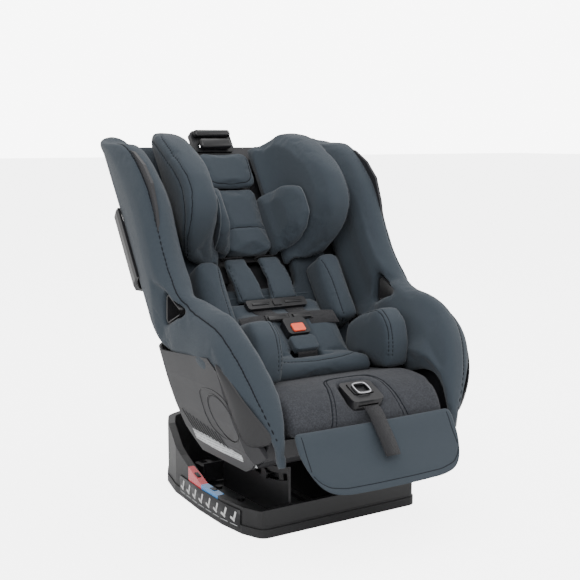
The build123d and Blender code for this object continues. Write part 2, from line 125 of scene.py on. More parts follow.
def mouldGroup():
    # fine moulded grain, rubbed edges
    group, into, out = newGroup(
        "mouldDetail",
        [("Scale", "NodeSocketFloat", 1400.0)],
        [("Height", "NodeSocketFloat"), ("Rubbed", "NodeSocketFloat"), ("Tone", "NodeSocketFloat")])
    place = node(group, "ShaderNodeTexCoord").outputs["Object"]
    grain = node(group, "ShaderNodeTexNoise", {"Vector": place, "Scale": into.outputs["Scale"],
                                               "Detail": 2.0})
    edge = node(group, "ShaderNodeNewGeometry").outputs["Pointiness"]
    rubbed = node(group, "ShaderNodeMapRange", {"Value": edge, "From Min": 0.52, "From Max": 0.62})
    tone = node(group, "ShaderNodeTexNoise", {"Vector": place, "Scale": 14.0, "Detail": 4.0})
    group.links.new(grain.outputs["Fac"], out.inputs["Height"])
    group.links.new(rubbed.outputs["Result"], out.inputs["Rubbed"])
    group.links.new(tone.outputs["Fac"], out.inputs["Tone"])
    return group


fabricDetail = fabricGroup()
mouldDetail = mouldGroup()


# materials: two tones that drift, fine relief, for plastics rubbed edges too
def fabric(name, color, second, scale=900.0, bump=0.25, rough=0.85, sheen=0.35, speckle=0.0):
    material = bpy.data.materials.new(name)
    material.use_nodes = True
    tree = material.node_tree
    shader = tree.nodes["Principled BSDF"]
    detail = node(tree, "ShaderNodeGroup", node_tree=fabricDetail)
    detail.inputs["Scale"].default_value = scale
    mix = node(tree, "ShaderNodeMix", {"Factor": detail.outputs["Tone"], "A": (*color, 1),
                                       "B": (*second, 1)}, data_type="RGBA")
    base = mix.outputs["Result"]
    if speckle:
        place = node(tree, "ShaderNodeTexCoord").outputs["Object"]
        dots = node(tree, "ShaderNodeTexNoise", {"Vector": place, "Scale": 420.0, "Detail": 3.0})
        spread = node(tree, "ShaderNodeMapRange", {"Value": dots.outputs["Fac"], "From Min": 0.42,
                                                   "From Max": 0.62, "To Max": speckle})
        light = tuple(min(1, c * 2.2) for c in second)
        mix = node(tree, "ShaderNodeMix", {"Factor": spread.outputs["Result"], "A": base,
                                           "B": (*light, 1)}, data_type="RGBA")
        base = mix.outputs["Result"]
    tree.links.new(base, shader.inputs["Base Color"])
    raised = node(tree, "ShaderNodeBump", {"Height": detail.outputs["Height"], "Strength": bump,
                                           "Distance": 0.0006})
    tree.links.new(raised.outputs["Normal"], shader.inputs["Normal"])
    shader.inputs["Roughness"].default_value = rough
    shader.inputs["Sheen Weight"].default_value = sheen
    shader.inputs["Sheen Roughness"].default_value = 0.5
    shader.inputs["Specular IOR Level"].default_value = 0.25
    return material


def mould(name, color, rough=0.45, scale=1400.0, bump=0.12, rub=1.6, coat=0.0, metal=0.0):
    material = bpy.data.materials.new(name)
    material.use_nodes = True
    tree = material.node_tree
    shader = tree.nodes["Principled BSDF"]
    detail = node(tree, "ShaderNodeGroup", node_tree=mouldDetail)
    detail.inputs["Scale"].default_value = scale
    light = tuple(min(1, c * rub + 0.003) for c in color)
    dark = tuple(c * 0.8 for c in color)
    tone = node(tree, "ShaderNodeMix", {"Factor": detail.outputs["Tone"], "A": (*dark, 1),
                                        "B": (*color, 1)}, data_type="RGBA")
    worn = node(tree, "ShaderNodeMix", {"Factor": detail.outputs["Rubbed"],
                                        "A": tone.outputs["Result"], "B": (*light, 1)},
                data_type="RGBA")
    tree.links.new(worn.outputs["Result"], shader.inputs["Base Color"])
    rougher = node(tree, "ShaderNodeMapRange", {"Value": detail.outputs["Tone"],
                                                "To Min": rough - 0.06, "To Max": rough + 0.06})
    tree.links.new(rougher.outputs["Result"], shader.inputs["Roughness"])
    raised = node(tree, "ShaderNodeBump", {"Height": detail.outputs["Height"], "Strength": bump,
                                           "Distance": 0.0003})
    tree.links.new(raised.outputs["Normal"], shader.inputs["Normal"])
    shader.inputs["Metallic"].default_value = metal
    shader.inputs["Coat Weight"].default_value = coat
    return material


slateKnit = fabric("slateKnit", (0.030, 0.040, 0.051), (0.038, 0.049, 0.061), sheen=0.12)
# darker copy of the slate knit: painted shade for the back pad, which sits in deep shadow behind
# the insert
slatePaintedShade = fabric("slatePaintedShade", (0.022, 0.029, 0.037), (0.028, 0.036, 0.045), sheen=0.1)
melange = fabric("melangeKnit", (0.020, 0.022, 0.027), (0.030, 0.032, 0.038), scale=700.0, bump=0.5,
                 sheen=0.1, speckle=0.4)
seamThread = fabric("seamThread", (0.004, 0.006, 0.009), (0.006, 0.008, 0.012), scale=1600.0,
                    sheen=0.0)
pipingLight = fabric("pipingLight", (0.075, 0.09, 0.105), (0.09, 0.105, 0.12), scale=1600.0)
webbing = fabric("blackWebbing", (0.010, 0.010, 0.012), (0.016, 0.016, 0.019), scale=1100.0,
                 bump=0.6,
                 rough=0.6, sheen=0.1)
charcoal = mould("charcoalMoulding", (0.010, 0.010, 0.012), rough=0.5)
blackGrain = mould("blackMoulding", (0.006, 0.006, 0.007), rough=0.45)
blackTrim = mould("blackTrim", (0.006, 0.006, 0.007), rough=0.34, scale=2200.0)
steelPlate = mould("zincSteel", (0.45, 0.45, 0.47), rough=0.3, metal=1.0, rub=1.2)
redGloss = mould("redLens", (0.50, 0.020, 0.035), rough=0.18, bump=0.02, rub=1.3, coat=0.6)
blueGloss = mould("blueLens", (0.020, 0.17, 0.42), rough=0.18, bump=0.02, rub=1.3, coat=0.6)
coral = mould("coralButton", (0.80, 0.10, 0.045), rough=0.35, bump=0.05, rub=1.2)
rubber = mould("gripRubber", (0.015, 0.015, 0.015), rough=0.8, bump=0.3)
labelGrey = mould("labelGrey", (0.42, 0.43, 0.44), rough=0.5, bump=0.02, rub=1.05)
labelWhite = mould("labelWhite", (0.72, 0.72, 0.72), rough=0.5, bump=0.02, rub=1.0)


# makers of meshes and pieces, which take millimetres
def placed(name, mesh):
    # a new object in the scene around a mesh
    piece = bpy.data.objects.new(name, mesh)
    bpy.context.scene.collection.objects.link(piece)
    return piece


def meshFrom(name, bm):
    mesh = bpy.data.meshes.new(name)
    bm.to_mesh(mesh)
    bm.free()
    return mesh


def bare(name, bm):
    # a mesh in mm becomes an object in metres with nothing on it yet
    bmesh.ops.recalc_face_normals(bm, faces=bm.faces)
    bmesh.ops.scale(bm, vec=(mm, mm, mm), verts=bm.verts)
    return placed(name, meshFrom(name, bm))


def subdivide(piece, levels):
    smooth = piece.modifiers.new("smooth", "SUBSURF")
    smooth.levels = levels
    smooth.render_levels = levels


def dress(piece, material):
    piece.data.materials.clear()
    piece.data.materials.append(material)
    for face in piece.data.polygons:
        face.use_smooth = True


def finish(name, bm, material, body, levels=2, bevel=0.0):
    piece = bare(name, bm)
    if bevel:
        rounded = piece.modifiers.new("edges", "BEVEL")
        rounded.width = bevel * mm
        rounded.segments = 3
        rounded.limit_method = "ANGLE"
        rounded.angle_limit = math.radians(35)
    if levels:
        subdivide(piece, levels)
    if bevel or levels:
        applyAll(piece)
    dress(piece, material)
    if body:
        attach(piece, body)
    return piece


def applyAll(piece):
    # the evaluated mesh takes the place of the cage
    graph = bpy.context.evaluated_depsgraph_get()
    mesh = bpy.data.meshes.new_from_object(piece.evaluated_get(graph))
    old = piece.data
    piece.modifiers.clear()
    piece.data = mesh
    mesh.name = old.name
    bpy.data.meshes.remove(old)


def loft(rings):
    # one ring of vertices, extruded from section to section
    bm = bmesh.new()
    first = [bm.verts.new(point) for point in rings[0]]
    count = len(first)
    edges = [bm.edges.new((first[i], first[(i + 1) % count])) for i in range(count)]
    bm.faces.new(first)
    ring = first
    for points in rings[1:]:
        made = bmesh.ops.extrude_edge_only(bm, edges=edges)["geom"]
        fresh = {v for v in made if isinstance(v, bmesh.types.BMVert)}
        following = []
        for vert, place in zip(ring, points):
            partner = next(e.other_vert(vert) for e in vert.link_edges
                           if e.other_vert(vert) in fresh)
            partner.co = place
            following.append(partner)
        edges = [e for e in made if isinstance(e, bmesh.types.BMEdge)
                 and all(v in fresh for v in e.verts)]
        ring = following
    bm.faces.new(ring)
    return bm


def smoothLine(points, closed=False):
    # a smooth line through points
    curve = bpy.data.curves.new("line", "CURVE")
    curve.dimensions = "3D"
    spline = curve.splines.new("NURBS")
    spline.points.add(len(points) - 1)
    for point, target in zip(spline.points, points):
        point.co = (*target, 1)
    spline.order_u = 3
    spline.use_endpoint_u = not closed
    spline.use_cyclic_u = closed
    spline.resolution_u = 6
    holder = bpy.data.objects.new("line", curve)
    mesh = bpy.data.meshes.new_from_object(holder)
    line = [v.co.copy() for v in mesh.vertices]
    bpy.data.objects.remove(holder)
    bpy.data.curves.remove(curve)
    bpy.data.meshes.remove(mesh)
    return line


def treeOf(piece):
    return BVHTree.FromPolygons([v.co for v in piece.data.vertices],
                                [p.vertices for p in piece.data.polygons])


def ontoSurface(tree, line, lift):
    placed = []
    for point in line:
        spot, normal, _, _ = tree.find_nearest(point * mm)
        placed.append(spot + normal * lift * mm)
    return placed


def tube(name, line, radius, material, body, closed=False):
    # a thin round line along points in metres
    curve = bpy.data.curves.new(name, "CURVE")
    curve.dimensions = "3D"
    spline = curve.splines.new("POLY")
    spline.points.add(len(line) - 1)
    for point, target in zip(spline.points, line):
        point.co = (*target, 1)
    spline.use_cyclic_u = closed
    curve.bevel_depth = radius * mm
    curve.bevel_resolution = 1
    curve.use_fill_caps = True
    holder = bpy.data.objects.new(name + "Curve", curve)
    mesh = bpy.data.meshes.new_from_object(holder)
    mesh.name = name
    bpy.data.objects.remove(holder)
    bpy.data.curves.remove(curve)
    piece = placed(name, mesh)
    dress(piece, material)
    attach(piece, body)


def seam(name, piece, points, body, width=5.0, depth=2.0, thread=0.8, material=seamThread):
    # a sewn line: the pad is pulled in along it and a thread lies in the valley
    tree = treeOf(piece)
    line = ontoSurface(tree, smoothLine(points), 0)
    spots = KDTree(len(line))
    for index, point in enumerate(line):
        spots.insert(point, index)
    spots.balance()
    for vert in piece.data.vertices:
        _, _, away = spots.find(vert.co)
        if away < width * mm:
            fall = 1 - away / (width * mm)
            vert.co -= vert.normal * depth * mm * fall * fall
    piece.data.update()
    line = ontoSurface(treeOf(piece), [p / mm for p in line], 0)
    tube(name, line, thread, material, body)


def strap(name, points, across, width, thick, material, body):
    # flat webbing along points, its width along across
    side = across.normalized() * width / 2
    rings = []
    for index, point in enumerate(points):
        before = points[max(index - 1, 0)]
        after = points[min(index + 1, len(points) - 1)]
        up = (after - before).cross(side).normalized() * thick / 2
        rings.append([point - side - up, point + side - up, point + side + up, point - side + up])
    bm = loft(rings)
    crease = bm.edges.layers.float.new("crease_edge")
    for edge in bm.edges:
        along = (edge.verts[0].co - edge.verts[1].co).normalized()
        if abs(along.dot(side.normalized())) < 0.5:
            edge[crease] = 0.8
    return finish(name, bm, material, body, levels=1)


def block(name, place, size, material, body, bevel=2.0, matrix=None):
    # a moulded block, mm, its axes given by a matrix
    bm = bmesh.new()
    bmesh.ops.create_cube(bm, size=1)
    bmesh.ops.scale(bm, vec=size, verts=bm.verts)
    if matrix is not None:
        bmesh.ops.transform(bm, matrix=matrix, verts=bm.verts)
    bmesh.ops.translate(bm, vec=place, verts=bm.verts)
    finish(name, bm, material, body, levels=0, bevel=bevel)


def turned(x, y, z):
    # a matrix whose columns are three directions
    return Matrix((x, y, z)).transposed().to_4x4()


backTurn = turned(Vector((1, 0, 0)), upBack, outBack)
bellyTurn = turned(Vector((1, 0, 0)), bellyUp, bellyOut)
print("helpers ready")


# camera and studio
studio = {
    "eye": (-0.976, -1.567, 0.620),      # the camera's place, metres
    "turn": -32.7,
    "drop": 8.1,
    "lens": 66.6,
    "floorGlow": 4.5,                    # what the camera sees of the floor and the world
    "worldGlow": 8.0,
    "aim": (0, 0, 0.3),
    # name, place, size, power
    "lamps": [("key", (-1.6, -2.2, 2.6), 2.2, 60), ("fill", (2.6, -1.8, 1.8), 2.5, 26),
              ("top", (0.2, 0.6, 3.0), 2.5, 40)],
}


def makeCamera():
    lens = bpy.data.cameras.new("camera")
    lens.lens = studio["lens"]
    lens.sensor_width = 36
    camera = placed("camera", lens)
    camera.location = studio["eye"]
    camera.rotation_euler = (math.radians(90 - studio["drop"]), 0, math.radians(studio["turn"]))
    bpy.context.scene.camera = camera


def makeStudio():
    bm = bmesh.new()
    bmesh.ops.create_grid(bm, x_segments=1, y_segments=1, size=30)
    floor = placed("floor", meshFrom("floor", bm))
    pale = bpy.data.materials.new("paleFloor")
    pale.use_nodes = True
    coat = pale.node_tree.nodes["Principled BSDF"]
    coat.inputs["Base Color"].default_value = (0.95, 0.95, 0.95, 1)
    coat.inputs["Roughness"].default_value = 0.9
    seen = node(pale.node_tree, "ShaderNodeLightPath").outputs["Is Camera Ray"]
    glow = node(pale.node_tree, "ShaderNodeMapRange", {"Value": seen, "To Min": 0.0,
                                                       "To Max": studio["floorGlow"]})
    coat.inputs["Emission Color"].default_value = (1, 1, 1, 1)
    pale.node_tree.links.new(glow.outputs["Result"], coat.inputs["Emission Strength"])
    floor.data.materials.append(pale)
    world = bpy.data.worlds.new("studio")
    bpy.context.scene.world = world
    world.use_nodes = True
    tree = world.node_tree
    back = tree.nodes["Background"]
    back.inputs["Color"].default_value = (1, 1, 1, 1)
    seen = node(tree, "ShaderNodeLightPath").outputs["Is Camera Ray"]
    strength = node(tree, "ShaderNodeMapRange", {"Value": seen, "To Min": 1.0,
                                                 "To Max": studio["worldGlow"]})
    tree.links.new(strength.outputs["Result"], back.inputs["Strength"])
    for name, place, size, power in studio["lamps"]:
        light = bpy.data.lights.new(name, "AREA")
        light.energy = power
        light.size = size
        lamp = placed(name, light)
        lamp.location = place
        aim = Vector(studio["aim"]) - Vector(place)
        lamp.rotation_euler = aim.to_track_quat("-Z", "Y").to_euler()


makeCamera()
makeStudio()
print("studio ready")


# soft pieces
def meshOf(nodeName, rightOnly=False):
    # a CAD node's shape in mm, its doubles merged, or the right half of it
    bm = bmesh.new()
    bm.from_mesh(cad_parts[nodeName].data)
    bmesh.ops.scale(bm, vec=(1 / mm, 1 / mm, 1 / mm), verts=bm.verts)
    bmesh.ops.remove_doubles(bm, verts=bm.verts, dist=0.01)
    if rightOnly:
        away = [v for v in bm.verts if v.co.x < 0]
        bmesh.ops.delete(bm, geom=away, context="VERTS")
    return bm


def remesh(piece, voxel):
    smaller = piece.modifiers.new("remesh", "REMESH")
    smaller.mode = "VOXEL"
    smaller.voxel_size = voxel * mm
    applyAll(piece)


def carve(piece, tool):
    # takes the tool's shape out of the piece
    cutter = piece.modifiers.new("cut", "BOOLEAN")
    cutter.operation = "DIFFERENCE"
    cutter.object = tool
    cutter.solver = "EXACT"
    applyAll(piece)
    bpy.data.objects.remove(tool)


def relax(piece, rounds):
    bm = bmesh.new()
    bm.from_mesh(piece.data)
    for _ in range(rounds):
        bmesh.ops.smooth_vert(bm, verts=bm.verts, factor=0.5, use_axis_x=True, use_axis_y=True,
                              use_axis_z=True)
    bm.to_mesh(piece.data)
    bm.free()


cloth = {
    "frames": 20,
    "uniform_pressure_force": 4.0,
    "quality": 4,
    "mass": 0.3,
    "tension_stiffness": 12,
    "compression_stiffness": 12,
    "bending_stiffness": 0.4,
}


def swell(piece, cap):
    # the cloth is blown up a little, no point moving further than cap, mm
    scene = bpy.context.scene
    start = [v.co.copy() for v in piece.data.vertices]
    blower = piece.modifiers.new("cloth", "CLOTH")
    blower.settings.use_pressure = True
    for key, value in cloth.items():
        if key != "frames":
            setattr(blower.settings, key, value)
    blower.settings.effector_weights.gravity = 0
    blower.collision_settings.use_collision = False
    blower.point_cache.frame_start = 1
    blower.point_cache.frame_end = cloth["frames"]
    for step in range(1, cloth["frames"] + 1):
        scene.frame_set(step)
    graph = bpy.context.evaluated_depsgraph_get()
    blown = piece.evaluated_get(graph).to_mesh()
    moved = [v.co.copy() for v in blown.vertices]
    piece.modifiers.clear()
    scene.frame_set(1)
    for vert, first, then in zip(piece.data.vertices, start, moved):
        step = then - first
        if step.length > cap * mm:
            step *= cap * mm / step.length
        vert.co = first + step
    piece.data.update()


def softPad(name, bm, material, voxel, rounds, shrink, cap, tool=None):
    # a pad with rounded edges and cloth puffed out over it; voxel, shrink and cap in mm
    piece = bare(name, bm)
    if tool:
        carve(piece, tool)
    remesh(piece, voxel)
    for vert in piece.data.vertices:
        vert.co -= vert.normal * shrink * mm
    relax(piece, rounds)
    swell(piece, cap)
    subdivide(piece, 1)
    applyAll(piece)
    dress(piece, material)
    return piece


def otherSide(piece, name):
    # a mirrored copy of a finished piece
    bm = bmesh.new()
    bm.from_mesh(piece.data)
    bmesh.ops.scale(bm, vec=(-1, 1, 1), verts=bm.verts)
    bmesh.ops.reverse_faces(bm, faces=bm.faces)
    copy = placed(name, meshFrom(name, bm))
    dress(copy, piece.data.materials[0])
    return copy


def settle(piece, body, fill, *nodes):
    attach(piece, body)
    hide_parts(*nodes)


def flip(points):
    return [Vector((-p.x, p.y, p.z)) for p in points]


def bothSeams(name, right, left, points, body, **looks):
    seam(name + "Right", right, points, body, **looks)
    seam(name + "Left", left, flip(points), body, **looks)


# side wings and arms
wing = {
    # up the back: front edge s, reach t, rear edge s
    "upper": [(362, 92, 430), (350, 118, 408), (338, 135, 385), (305, 155, 330), (265, 167, 275),
              (225, 174, 225), (180, 170, 175), (115, 160, 115), (64, 163, 70), (32, 170, 34)],
    # rings of the arm as (x, y, z), inner wall first, outer wall last
    "turn": [(168, -40, 262), (172, -56, 312), (187, -86, 366), (205, -96, 375), (229, -98, 360),
             (241, -82, 332), (240, -50, 308), (225, -22, 290)],
    "arm": [(150, 232), (160, 290), (183, 357), (200, 365), (224, 345), (241, 318), (240, 302),
            (236, 288)],
    "corner": [
        [(151, -215, 232), (165, -218, 290), (184, -212, 330), (202, -214, 338), (224, -210, 324),
         (240, -210, 304), (240, -206, 296), (236, -200, 290)],
        [(151, -245, 228), (163, -248, 268), (180, -248, 298), (197, -245, 304), (218, -240, 297),
         (236, -232, 285), (236, -228, 276), (230, -220, 270)],
        [(151, -266, 210), (160, -272, 234), (172, -271, 252), (189, -266, 263), (208, -260, 263),
         (225, -252, 256), (223, -248, 246), (216, -240, 240)],
        [(152, -280, 185), (158, -285, 200), (168, -283, 214), (181, -279, 223), (195, -274, 227),
         (207, -268, 224), (203, -264, 212), (196, -256, 206)],
        [(153, -284, 160), (157, -289, 168), (163, -290, 175), (170, -288, 180), (176, -285, 183),
         (182, -281, 182), (180, -277, 174), (173, -268, 168)],
        [(153, -286, 130), (156, -289, 132), (160, -290, 135), (163, -289, 137), (167, -287, 138),
         (170, -284, 137), (169, -278, 133), (164, -270, 130)]],
    "yArm": [(-122, 2), (-148, -3), (-180, -9)],
    "fill": 0.6,
}


def wingRings():
    rings = []
    for front, reach, rear in wing["upper"]:
        middle = (25 + reach) / 2
        spots = [(186, 25), (187, middle), (192, reach - 18), (212, reach), (234, reach - 7),
                 (241, reach - 26), (239, middle), (207, 27)]
        rings.append([onBack(x, rear + (front - rear) * (t - 25) / (reach - 25), t)
                      for x, t in spots])
    rings[0] = [p.lerp(sum(rings[0], Vector()) / 8, 0.45) for p in rings[0]]
    rings.append([Vector(p) for p in wing["turn"]])
    for y, rise in wing["yArm"]:
        rings.append([Vector((x, y, z + rise)) for x, z in wing["arm"]])
    rings += [[Vector(p) for p in ring] for ring in wing["corner"]]
    return rings


def makeWings():
    bm = loft(wingRings())
    bmesh.ops.subdivide_edges(bm, edges=bm.edges, cuts=1, use_grid_fill=True, smooth=0.6)
    slotBox = bare("beltSlot", loft([[Vector((x, -40, 322)), Vector((x, -104, 351)),
                                      Vector((x, -43, 382))] for x in (140, 260)]))
    right = softPad("wingRight", bm, slateKnit, voxel=4.5, shrink=1.5, rounds=5, cap=5,
                    tool=slotBox)
    left = otherSide(right, "wingLeft")
    rings = wingRings()
    edge = [ring[4].lerp(ring[3], 0.15) for ring in rings[1:-1]]
    bothSeams("wingSeam", right, left, edge, "seat", width=8, depth=2.0, thread=1.1)
    settle(right, "seat", wing["fill"], "side_cover_right", "arm_cover_right")
    settle(left, "seat", wing["fill"], "side_cover_left", "arm_cover_left")
    return right, left


wingRight, wingLeft = makeWings()
print("wings ready")


# headrest pads
headrest = {
    "fillWing": 0.6,
    "fillPillow": 0.7,
}


def makeHeadrest():
    big = softPad("headrestWingRight", meshOf("headrest_wing_right"), slateKnit, voxel=4.0,
                  rounds=30, shrink=-1.5, cap=5)
    bigLeft = otherSide(big, "headrestWingLeft")
    for inset in (4, 26):
        line = [onBack(across, s, t - inset) for across, s, t in (
            (140, 370, 112), (155, 355, 130), (162, 320, 152), (162, 273, 174), (160, 240, 184),
            (158, 208, 180), (160, 182, 165), (161, 162, 137), (158, 148, 104), (150, 136, 74))]
        bothSeams("headrestSeam%d" % inset, big, bigLeft, line, "headrest", width=6, depth=2.2)
    settle(big, "headrest", headrest["fillWing"], "headrest_wing_right")
    settle(bigLeft, "headrest", headrest["fillWing"], "headrest_wing_left")

    small = softPad("pillowWingRight", meshOf("pillow_wing_right"), slateKnit, voxel=3.0, rounds=14,
                    shrink=-1.0, cap=4)
    smallLeft = otherSide(small, "pillowWingLeft")
    rim = [onBack(90, s, t) for s, t in ((268, 60), (264, 102), (247, 128), (220, 140), (193, 134),
                                         (171, 114), (158, 86), (156, 62))]
    bothSeams("pillowPiping", small, smallLeft, rim, "headrest", width=3, depth=0.4, thread=1.0,
              material=pipingLight)
    settle(small, "headrest", headrest["fillWing"], "pillow_wing_right")
    settle(smallLeft, "headrest", headrest["fillWing"], "pillow_wing_left")

    middle = softPad("pillowMiddle", meshOf("pillow"), slateKnit, voxel=3.5, rounds=6, shrink=0.6,
                     cap=5)
    seam("pillowSeam", middle, [onBack(x, 205, 58) for x in (-44, -20, 0, 20, 44)], "headrest",
         width=7, depth=3)
    settle(middle, "headrest", headrest["fillPillow"], "pillow")

    tab = softPad("headrestTab", meshOf("headrest_tab"), slateKnit, voxel=3.0, rounds=5, shrink=0.4,
                  cap=3)
    rim = [onBack(x, s, 58) for x, s in ((-49, 358), (-49, 325), (-44, 306), (-30, 297), (0, 296),
                                         (30, 297), (44, 306), (49, 325), (49, 358))]
    seam("tabSeam", tab, rim, "headrest", width=4, depth=1.2)
    settle(tab, "headrest", headrest["fillPillow"], "headrest_tab")


makeHeadrest()
print("headrest ready")


# body insert, back pad and shoulder pads
insert = {"fill": 0.6, "thin": 0.5}


def makeInsert():
    # the back pad wears the darker slate copy as painted shade
    back = softPad("backPad", meshOf("back_pad"), slatePaintedShade, voxel=6, rounds=4, shrink=1, cap=3)
    settle(back, "seat", insert["thin"], "back_pad")

    body = softPad("insertPad", meshOf("insert_pad"), slateKnit, voxel=4.0, rounds=6, shrink=0.8,
                   cap=5)
    lip = [Vector(p) for p in ((-96, -100, 250), (-80, -128, 258), (-40, -142, 262), (0, -146, 262),
                               (40, -142, 262), (80, -128, 258), (96, -100, 250))]
    seam("lipSeam", body, lip, "seat", width=6, depth=2)
    settle(body, "seat", insert["fill"], "insert_pad")

    shoulder = softPad("insertShoulderRight", meshOf("insert_shoulder_right"), slateKnit, voxel=4.0,
                       rounds=20, shrink=-1.0, cap=6)
    shoulderLeft = otherSide(shoulder, "insertShoulderLeft")
    border = [onBack(x, s, t) for x, s, t in (
        (108, 118, 70), (106, 116, 96), (112, 80, 100), (112, 40, 100), (112, 5, 98),
        (118, -6, 80))]
    bothSeams("shoulderSeam", shoulder, shoulderLeft, border, "seat", width=5, depth=2)
    settle(shoulder, "seat", insert["fill"], "insert_shoulder_right")
    settle(shoulderLeft, "seat", insert["fill"], "insert_shoulder_left")

    hip = softPad("insertHipRight", meshOf("insert_hips", rightOnly=True), slateKnit, voxel=4.0,
                  rounds=26, shrink=-1.5, cap=6)
    hipLeft = otherSide(hip, "insertHipLeft")
    for inset in (0, 6):
        line = [Vector((106 + inset, y, z)) for y, z in (
            (-184, 262), (-186, 290), (-176, 318), (-156, 333), (-130, 330), (-104, 318),
            (-76, 300))]
        bothSeams("hipSeam%d" % inset, hip, hipLeft, line, "seat", width=4, depth=1.6)
    settle(hip, "seat", insert["fill"], "insert_hips")
    settle(hipLeft, "seat", insert["fill"])

    for side in ("right", "left"):
        pad = softPad("shoulderPad" + side.title(), meshOf("shoulder_pad_" + side), slateKnit,
                      voxel=3.0, rounds=5, shrink=0.4, cap=3)
        turn = 1 if side == "right" else -1
        rim = [onBack(x * turn, s, t) for x, s, t in (
            (10, 148, 45), (8, 100, 58), (7, 62, 61), (12, 59, 61), (52, 59, 61), (57, 62, 61),
            (57, 100, 58), (53, 148, 45))]
        seam("shoulderPadSeam" + side.title(), pad, rim, "headrest", width=3.5, depth=1, thread=0.6)
        settle(pad, "headrest", insert["thin"], "shoulder_pad_" + side)

    crotch = softPad("crotchPad", meshOf("crotch_pad"), slateKnit, voxel=2.5, rounds=4, shrink=0.3,
                     cap=2)
    settle(crotch, "seat", insert["thin"], "crotch_pad")


makeInsert()
print("insert ready")


# seat cushion
cushion = {"fill": 0.7}


def makeCushion():
    top = softPad("seatCushion", meshOf("seat_cushion"), melange, voxel=6, rounds=5, shrink=1,
                  cap=4)
    outline = [(-73, -293, 188), (-66, -278, 214), (-56, -245, 236), (-45, -207, 243),
               (0, -204, 243), (45, -207, 243), (56, -245, 236), (66, -278, 214), (73, -293, 188)]
    seam("panelPiping", top, [Vector(p) for p in outline], "seat", width=7, depth=1.6, thread=1.2)
    inner = [Vector((x * 0.9, y, z)) for x, y, z in outline]
    seam("panelPipingInner", top, inner, "seat", width=4, depth=0.8)
    settle(top, "seat", cushion["fill"], "seat_cushion")


makeCushion()
print("cushion ready")


# harness
harness = {"webWide": 38, "lapWide": 30, "thick": 1.6, "pullWide": 28, "pullThick": 2.0}


def makeHarness():
    across = Vector((1, 0, 0))
    for side, name in ((1, "Right"), (-1, "Left")):
        x = 33 * side
        line = [onBelly(20 * side, -30, 5), onBelly(26 * side, -22, 4), onChest(x, -14, 3),
                onChest(x, 0, 3), onChest(x, 14, 3)]
        made = strap("shoulderWeb" + name, smoothLine(line), across, harness["webWide"],
                     harness["thick"], webbing, "seat")
        if side > 0:
            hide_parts("shoulder_straps")
        upper = [onChest(x, 10, 3), onChest(x, 16, 3), onBack(x, 48, 50), onBack(x, 62, 54)]
        made = strap("upperWeb" + name, smoothLine(upper), across, harness["webWide"] - 1,
                     harness["thick"], webbing, None)
        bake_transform(made)
        lap = [onBelly(x * 1.1, -28, 1.0), onBelly(60 * side, -28, 1), onBelly(78 * side, -29, 1),
               onBelly(96 * side, -30, 0)]
        made = strap("lapWeb" + name, smoothLine(lap), bellyUp, harness["lapWide"],
                     harness["thick"], webbing, "seat")
        if side > 0:
            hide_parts("lap_straps")
    line = [Vector((0, y, z)) for y, z in ((-277, 210), (-289, 205), (-303, 187), (-322, 166),
                                           (-336, 146))]
    pull = strap("pullWeb", smoothLine(line), across, harness["pullWide"], harness["pullThick"],
                 webbing, "seat")
    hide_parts("pull_strap")


makeHarness()
print("harness ready")


# apron under the seat's front edge
apron = {
    "slope": [(192, -287), (187, -294), (160, -308), (124, -333), (103, -348), (98, -350)],   # z, y
    "bottom": [(0, 101), (40, 101), (90, 102), (118, 107), (134, 118), (145, 136), (151, 160)],
    "thick": 6,
    "columns": 24,
    "rows": 6,
    "fill": 0.3,
}


def along(table, value):
    # straight interpolation in a table of pairs
    table = sorted(table)
    for (a, first), (b, second) in zip(table, table[1:]):
        if value <= b:
            return first + (second - first) * max(0, value - a) / (b - a)
    return table[-1][1]


def makeApron():
    rings = []
    for column in range(apron["columns"] + 1):
        x = -150 + 300 * column / apron["columns"]
        low = along(apron["bottom"], abs(x))
        swell = 2.5 * math.sin(math.pi * column / apron["columns"])
        outer = []
        for row in range(apron["rows"] + 1):
            z = 190 + (low - 190) * row / apron["rows"]
            outer.append(Vector((x, along(apron["slope"], z) - swell, z)))
        inner = [p + Vector((0, apron["thick"], -1.5)) for p in reversed(outer)]
        inner[0] = outer[-1] + Vector((0, apron["thick"], 2))
        rings.append(outer + inner)
    front = finish("apronCover", loft(rings), slateKnit, "seat", levels=2)
    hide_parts("apron")
    edge = [(x, along(apron["bottom"], abs(x)) + 11) for x in range(-138, 139, 6)]
    hem = [Vector((x, along(apron["slope"], z) - 2, z)) for x, z in edge]
    seam("apronHem", front, hem, "seat", width=3.5, depth=1.2, thread=0.6)
    for side in (1, -1):
        edge = [Vector((139 * side, along(apron["slope"], z), z)) for z in (186, 170, 155, 140)]
        seam("apronSide%d" % side, front, edge, "seat", width=3.5, depth=1.0, thread=0.6)


makeApron()
print("apron ready")


# details on the base
base = {
    "side": [(-204, 151), (-165, 166), (-110, 172), (-30, 171), (75, 162)],   # y, x of the wall
    "card": (-160, 52, 9, 39),                        # y from, y to, z from, z to
    "figures": 8,
}


def onBase(y, z, out=0.0):
    return Vector((-along(base["side"], y) - out, y, z))


def facing(y):
    # turns a block's thin side to the base's left wall
    run = (onBase(y + 5, 0) - onBase(y - 5, 0)).normalized()
    return turned(run, Vector((0, 0, 1)), run.cross(Vector((0, 0, 1))))


